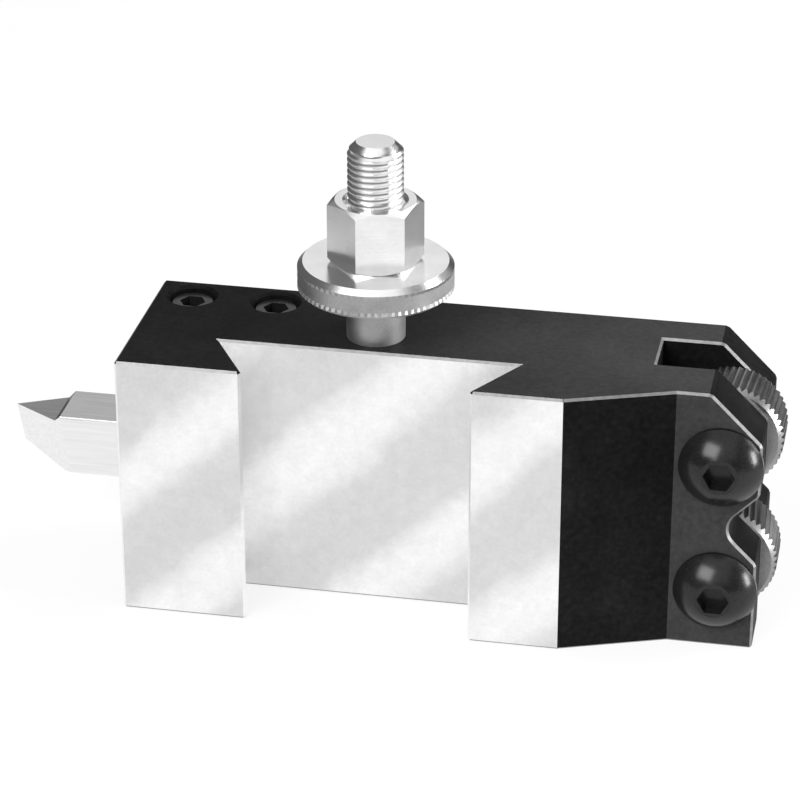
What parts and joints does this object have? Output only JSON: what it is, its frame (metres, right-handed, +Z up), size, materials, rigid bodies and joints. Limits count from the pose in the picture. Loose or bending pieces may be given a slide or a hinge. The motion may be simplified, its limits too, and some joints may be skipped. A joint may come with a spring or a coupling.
{
  "type": "turning and knurling tool holder",
  "caption": "Quick-change lathe tool holder with a dovetail front, a height-adjusting stud and nuts, a clamped square turning bit and knurl wheels in a forked end.",
  "frame": {"origin": "where the axis of the height-adjusting stud meets the flat underside of the holder block", "axes": "+X along the holder from the tool bit to the knurl wheels, +Y from the dovetail side to the back, +Z up along the height-adjusting stud"},
  "size_m": [0.1388, 0.0343, 0.0831],
  "materials": {
    "blackened_steel": "black oxide over machined steel, with the dovetail and the front lands ground bright",
    "bright_steel": "polished, bright",
    "tool_steel": "ground, bright",
    "knurl_steel": "hardened steel, satin, with toothed rims",
    "black_screws": "black, semi-gloss"
  },
  "bodies": {
    "holder": {"holder_body": "blackened_steel", "adjusting_stud": "bright_steel", "lower_axle_screw": "black_screws", "upper_axle_screw": "black_screws"},
    "adjusting_nut": {"adjusting_nut": "bright_steel"},
    "lock_nut": {"lock_nut": "bright_steel"},
    "tool_bit": {"tool_bit": "tool_steel"},
    "set_screw_1": {"set_screw_1": "black_screws"},
    "set_screw_2": {"set_screw_2": "black_screws"},
    "lower_knurl_wheel": {"lower_knurl_wheel": "knurl_steel"},
    "upper_knurl_wheel": {"upper_knurl_wheel": "knurl_steel"}
  },
  "joints": [
    {"name": "lower_wheel_spin", "type": "hinge", "parent": "holder", "child": "lower_knurl_wheel", "pos_m": [0.06095, 0.00264, 0.011], "axis": [0, 1, 0], "continuous": true},
    {"name": "upper_wheel_spin", "type": "hinge", "parent": "holder", "child": "upper_knurl_wheel", "pos_m": [0.06095, 0.00264, 0.0345], "axis": [0, 1, 0], "continuous": true},
    {"name": "adjusting_nut_height", "type": "slide", "parent": "holder", "child": "adjusting_nut", "axis": [0, 0, 1], "range_m": [0, 0.006]},
    {"name": "lock_nut_travel", "type": "slide", "parent": "adjusting_nut", "child": "lock_nut", "axis": [0, 0, 1], "range_m": [0, 0.0035]},
    {"name": "set_screw_1_travel", "type": "slide", "parent": "holder", "child": "set_screw_1", "axis": [0, 0, 1], "range_m": [0, 0.008]},
    {"name": "set_screw_2_travel", "type": "slide", "parent": "holder", "child": "set_screw_2", "axis": [0, 0, 1], "range_m": [0, 0.008]},
    {"name": "tool_bit_slide", "type": "slide", "parent": "holder", "child": "tool_bit", "axis": [-1, 0, 0], "range_m": [-0.012, 0.02]}
  ]
}
